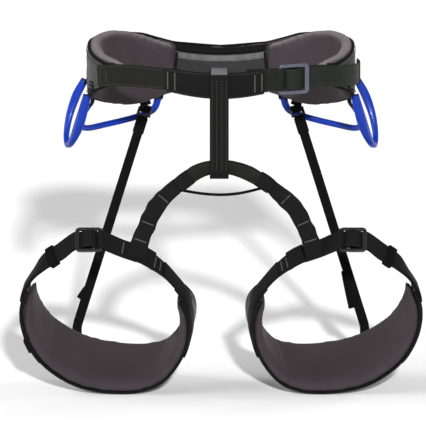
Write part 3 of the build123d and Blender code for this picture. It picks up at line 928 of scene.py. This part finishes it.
# Leg buckle: its origin, and its directions along and across the webbing
LO, LX = rim_point(-21, 200, 9) + FRONT * 4.5, -X
LY = FRONT.cross(LX)
LEG_TURN = ((15, -6.5), (3, -6.1), (-4, -6.1), (-7.4, -5.2), (-8.6, -2.4), (-8, 1.4), (-5, 4.4),
            (-1, 5.2), (3, 4.2), (6.4, 1.4), (9, -1.5), (11.5, -2.3), (16.5, -2.3))

for side in SIDES:
    body = f"leg_{side}"
    rows = leg_rows(2.9, 12.6, lambda r: 0.4, lambda r: r - 0.6, 3.8, 0.85, 13.05, ends=2.2, least=0.16,
                    crown=0.8)
    pad = build(f"leg_lining_{side}", rows, LINING, None, side, replaces=f"leg_pad_{side}", slot="lining")
    swell(pad, LINING, 0.9)
    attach(pad, body)
    rows = leg_rows(-0.2, 2.4, lambda r: 4.0, lambda r: r - 4.0, 1.1, 0.8, 13.1, ends=1.4, least=0.5,
                    pucker=0.5)
    build(f"leg_outer_{side}", rows, SHELL, body, side, replaces=f"leg_shell_{side}", slot="shell_fabric")
    for label, near in (("near", True), ("far", False)):
        rows = []
        for t in spread(0.9, 13.0, 84):
            p, out, reach = rim_at(t)
            c = p + LEG_BACK * (3.9 if near else reach - 3.9) - out * 1.6
            rows.append(ring(c, LEG_BACK_UNIT, out, 4.0, 3.2, 1.5, 3, 1, 4))
        build(f"leg_{label}_binding_{side}", rows, BINDING, body, side)
        pts, outs = [], []
        for t in spread(1.1, 12.8, 39):
            p, out, reach = rim_at(t)
            pts.append(p + LEG_BACK * (8.5 if near else reach - 8.5) + out * 0.35)
            outs.append(out)
        threads(f"leg_{label}_stitches_{side}", seam(pts, outs), body, side, thick=FINE_STITCH)
    # Webbing that shows on the outer face, down both sides of the loop
    for label, first, last in (("outer", 0.5, 4.2), ("inner", 10.4, 13.6)):
        rows = []
        for t in spread(first, last, 30):
            p, out, reach = rim_at(t)
            c = p + LEG_BACK * 14 + out * 1.0
            rows.append(ring(c, LEG_BACK_UNIT, out, 19, 1.8, 0.8, 8, 1, 3))
        build(f"leg_{label}_run_{side}", rows, BLACK, body, side)
    rows = leg_rows(1.7, 3.5, lambda r: r / 2 - 9.5, lambda r: r / 2 + 9.5, 0.8, 1.25, 12.6, ends=1.0,
                    least=0.5)
    build(f"leg_core_{side}", rows, BLACK, body, side, replaces=f"leg_core_webbing_{side}",
          slot="black_webbing")

    # Front webbing over the thigh, round the buckle's fixed bar
    route = [(83.75, 111, 14, 13), (79.5, 124, 14, 13), (67, 144, 13, 14), (57, 159, 11, 14),
             (46, 171, 9.5, 14), (30, 183, 8.5, 14), (13, 190.5, 8, 14)]
    shares = (0, 0, 0, 0.4, 0.65, 0.85, 1)
    outs = [mixed(i, s) for (a, b, c, i), s in zip(route, shares)]
    path = [rim_point(a, b, c) + n * (2.9 + 0.9 * s) for (a, b, c, i), n, s in zip(route, outs, shares)]
    turn, face = fold(LO, LX, FRONT, -13.3, 0, 3.0, 1)
    tail = [p - n * 2.3 for p, n in zip(path[6:4:-1], outs[6:4:-1])]
    whole = path + turn + tail
    faces = outs + face + [-n for n in outs[6:4:-1]]
    across = [LEG_BACK_UNIT] * 3
    across += [towards(ahead_at(whole, i).cross(outs[i]).normalized(), LEG_BACK_UNIT)
               for i in range(3, 7)]
    across += [towards(-LY, across[3])] * (len(whole) - 7)
    rows = strip(whole, faces, 20, 1.8, step=1.5, fixed=across)
    build(f"thigh_strap_{side}", rows, BLACK, body, side, replaces=f"leg_front_webbing_{side}",
          slot="black_webbing")
    tacks = []
    for i, t, length in ((1, 0.75, 15), (2, 0.15, 15), (3, 0.35, 13), (3, 0.8, 13), (5, 0.35, 13),
                         (5, 0.78, 13)):
        p = along(path, i + t)
        ahead = (along(path, i + t + 0.08) - along(path, i + t - 0.08)).normalized()
        out = along(outs, i + t).normalized()
        tacks += tack(p + out * 1.2, ahead.cross(out).normalized(), ahead, out, length)
    threads(f"thigh_tacks_{side}", tacks, body, side, material=THREAD)
    # Doubled piece where the webbing leaves the pad, and the end of the bridge's arm on the webbing
    rows = strip([p + n * 1.2 for p, n in zip(path[:4], outs[:4])], outs[:4], 21, 1.6, step=1.5,
                 fixed=across[:4], crown=0.6)
    build(f"thigh_patch_{side}", rows, BLACK, body, side)
    knee = [along(path, 3.9) + outs[4] * 1.5, along(path, 4.4) + outs[4] * 1.8,
            along(path, 4.9) + outs[5] * 1.5]
    rows = strip(knee, outs[4], 23, 1.5, step=1.5, crown=0.8)
    build(f"junction_patch_{side}", rows, BLACK, body, side)

    # Adjusting strap, threaded through the buckle and back over itself
    route = [(-92.75, 121, 14), (-90, 134, 14), (-80, 153, 13), (-68, 170, 11), (-52, 184, 10)]
    shares = (0, 0, 0, 0.45, 0.8)
    under = [mixed(0, s) for s in shares]
    lower = [rim_point(*q) + n * (1.3 + 0.6 * s) for q, n, s in zip(route, under, shares)]
    wrap, face = bulge(LO, LX, FRONT, LEG_TURN)
    upper = [p + n * 2.2 for p, n in zip(lower[::-1], under[::-1])]
    whole = lower + wrap + upper
    faces = [-n for n in under] + face + under[::-1]
    ahead = lower[4] - lower[3]
    ends = [LEG_BACK_UNIT] * 3
    ends += [towards(ahead.cross(n).normalized(), LEG_BACK_UNIT) for n in under[3:]]
    across = ends + [towards(LY, LEG_BACK_UNIT)] * len(wrap) + ends[::-1]
    rows = strip(whole, faces, 19.5, 1.8, step=1.5, fixed=across)
    build(f"leg_tail_{side}", rows, BLACK, body, side, replaces=f"leg_adjusting_strap_{side}",
          slot="black_webbing")

    ahead.normalize()
    face = (under[3] + under[4]).normalized()
    o = (lower[3] + lower[4]) * 0.5 + face * 1.1
    wide = face.cross(ahead).normalized()
    face = towards(ahead.cross(wide), FRONT)
    band(f"leg_keeper_{side}", o, wide, face, ahead, 11.6, 4.6, 9.5, 1.4, 3.2, ELASTIC, body, side,
         replaces=f"leg_strap_keeper_{side}", slot="elastic")

    # Elastic riser in two runs that meet half way
    top, foot = Vector((-86, 91, 284)), Vector((-158, 45, 60))
    face = Vector((-0.35, -0.9, 0.25)).normalized()
    half = top + (foot - top) * 0.5
    down = (foot - top).normalized()
    square = down.cross(face).normalized()
    front_of = towards(square.cross(down).normalized(), face)
    ends = metres(flip(top, side)), metres(flip(half, side)), metres(flip(foot, side))
    for label, a, b, one, two, k in (("upper", top - down * 1.5, half, "waist", "middle", 0),
                                     ("lower", half, foot, "middle", body, 1)):
        rows = [ring(p, square, front_of, 11, 1.8, 0.8, 6, 1, 3) for p in spread(a, b, 24)]
        piece = build(f"riser_{label}_run_{side}", rows, ELASTIC, None, side,
                      replaces=f"riser_{label}_{side}", slot="elastic")
        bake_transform(piece)
    # Doubled end below the hook and the loose end near the leg loop
    a = top + down * 1
    build(f"riser_doubled_{side}", strip([a, a + down * 9, a + down * 18], front_of, 13, [3.6, 3.4, 2.4]),
          ELASTIC, "waist", side)
    drop, way, up = (42, -1, 62) if side == "left" else (14, 1, 40)
    a = foot - down * up - front_of * 1.7 + square * (2.0 * way)
    loose = [a, a + down * drop * 0.5 + square * (2.6 * way), a + down * drop + square * (4.6 * way)]
    piece = build(f"riser_end_{side}", strip(loose, front_of, 9.5, 1.5), ELASTIC, None, side)
    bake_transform(piece)
    end = [foot - down * 1.0, Vector((-158.8, 43.2, 55)), Vector((-158.6, 40, 49)),
           Vector((-157.6, 36.6, 43.6)), Vector((-156.5, 32.5, 39.6))]
    build(f"riser_foot_{side}", strip(end, front_of, 11, 1.8), ELASTIC, body, side)

    # Webbing tab on the belt that the riser's hook clips to
    pts = [belt(-35.5, 16.5, 322), belt(-35.5, 16.7, 310), belt(-35.5, 17.6, 302), top - down * 12.5]
    faces = [normal(-35.5)] * 3 + [-front_of]
    build(f"riser_tab_strap_{side}", strip(pts, faces, 12, 2.0, step=1.5), BLACK, "waist", side,
          replaces=f"riser_tab_{side}", slot="black_webbing")
    NODES[f"riser_hook_{side}"].data.materials[0] = PLASTIC
    build(f"riser_knot_{side}", strip([top - down * 13, top - down * 9, top - down * 4.5], front_of,
          [12.5, 14, 12.5], [5.5, 7.0, 5.5], 2.2, 0.6, 1.2, wobble=0.8), ELASTIC, "waist", side)
    for node, paint in ((f"leg_buckle_frame_{side}", BLACK_ALLOY), (f"leg_buckle_slider_{side}", STEEL)):
        NODES[node].data.materials[0] = paint

# Small parts that only one side has
pts, outs = [], []
for t in (3.15, 3.4, 3.65):
    p, out, reach = rim_at(t)
    pts.append(p + LEG_BACK * 7 + out * 1.2)
    outs.append(out)
build("leg_side_tab", strip(pts, outs, 12, 3.0, step=1.5, fixed=LEG_BACK_UNIT), BLACK, "leg_right")

NODES["waist_buckle_frame"].data.materials[0] = ALLOY
NODES["waist_buckle_slider"].data.materials[0] = ALLOY

# Gear loops -----------------------------------------------------------------------------------

GEAR = {
    "front": [(-80, 20.6, 341), (-80, 29.5, 324), (-82.5, 36, 303), (-87, 38, 284), (-93, 36.5, 275.5),
              (-99, 33, 284), (-104, 28, 306), (-106, 20.6, 337)],
    "rear": [(-28, 20.6, 303), (-30, 24, 288), (-38, 27.5, 281), (-53, 31, 277.5), (-66, 33.5, 279),
             (-73, 33, 290), (-73, 20.6, 310)],
}
SHAPE = {"front": ([9.5, 9.0, 7.4, 6.2, 6.0, 7.0, 9.5, 9.0], [8.0, 9.0, 7.6, 6.4, 6.2, 7.4, 9.6, 7.6]),
         "rear": ([8.0, 6.8, 6.4, 6.4, 6.6, 7.6, 8.4], [6.0, 6.4, 6.4, 6.4, 6.4, 6.6, 6.0])}
for side in SIDES:
    for place, route in GEAR.items():
        pts = [belt(*q) for q in route]
        widths, thicks = SHAPE[place]
        rows = strip(pts, [normal(q[0]) for q in route], widths, thicks, 2.2, 0.0, 2.0)
        build(f"gear_hanger_{place}_{side}", rows, BLUE, f"gear_loop_{place}_{side}", side,
              replaces=f"gear_loop_{place}_{side}", slot="blue_plastic")
        for k, (angle, _, height) in enumerate((route[0], route[-1])):
            n = normal(angle)
            pts = [belt(angle, depth, height + up)
                   for depth, up in ((15.9, 15), (16.2, 6), (17.6, 1), (20.6, -3.2))]
            build(f"gear_tab_{place}_{k}_{side}", strip(pts, n, 10, 1.6, step=1.5), BLACK, "waist", side,
                  replaces=f"gear_loop_tabs_{place}_{side}" if k == 0 else "", slot="black_webbing")
            across = Z.cross(n).normalized()
            tacks = tack(belt(angle, 17.3, height + 9), across, Z, n, 8.5)
            tacks += tack(belt(angle, 17.0, height + 13), across, Z, n, 8.5)
            threads(f"gear_tacks_{place}_{k}_{side}", tacks, "waist", side, thick=FINE_STITCH,
                    material=THREAD)

y = HALF_D + STRAP_DEPTH + 1
haul = [(0, 344), (0, 322), (2, 312), (9, 300), (12, 291), (9, 283.5), (3, 283.5), (-1, 290), (-1, 304)]
pts = [Vector((-2, y + a, z)) for a, z in haul]
faces = [X.cross(ahead_at(pts, i)).normalized() for i in range(len(pts))]
build("haul_strap", strip(pts, faces, 12, 2.0, step=1.5, fixed=X), BLACK, "haul_loop",
      replaces="haul_loop", slot="black_webbing")
tacks = [run for z in (340, 326) for run in tack(Vector((-2, y + 1.3, z)), X, Z, Y, 10)]
threads("haul_tacks", tacks, "haul_loop", material=THREAD)

# Floor, light and camera ----------------------------------------------------------------------

floor_data = bpy.data.meshes.new("floor")
corners = [(x, y, -H / 1000 - 0.0006) for x, y in ((-8, -8), (8, -8), (8, 10), (-8, 10))]
floor_data.from_pydata(corners, [], [(0, 1, 2, 3)])
floor = link("floor", floor_data)
ground = Paint("floor_paint", (0.86, 0.86, 0.86, 1), 0.9)
ground.tint(ground.noise(400, 2), (0.85, 0.85, 0.85, 1), (0.88, 0.88, 0.88, 1))
floor_data.materials.append(ground.m)


def sun(name, at, strength, angle):
    """Even light from far off, so that the whole floor gets the same."""
    light = bpy.data.lights.new(name, "SUN")
    light.energy, light.angle = strength, math.radians(angle)
    link(name, light).rotation_euler = (-Vector(at)).to_track_quat("-Z", "Y").to_euler()


sun("key", (0.26, -2.4, 1.08), 4.2, 2.6)
sun("left", (-0.85, -0.3, 0.6), 2.0, 40)
sun("right", (0.9, 0.2, 0.5), 0.7, 20)
world = bpy.data.worlds.new("studio")
world.use_nodes = True
world.node_tree.nodes["Background"].inputs["Color"].default_value = (1, 1, 1, 1)
world.node_tree.nodes["Background"].inputs["Strength"].default_value = 0.24
scene.world = world
scene.view_settings.view_transform = "Standard"

TILT = math.radians(14)
DISTANCE = 8.0
SEEN_WIDTH = 0.464
aim = Vector((-0.0087, -0.035, (199.5 / math.cos(TILT) - H) / 1000))
lens = bpy.data.cameras.new("camera")
lens.sensor_width = 36
lens.lens = lens.sensor_width * DISTANCE / SEEN_WIDTH
lens.clip_end = 60
camera = link("camera", lens)
camera.location = aim + Vector((0, -math.cos(TILT), math.sin(TILT))) * DISTANCE
camera.rotation_euler = (aim - camera.location).to_track_quat("-Z", "Y").to_euler()
scene.camera = camera
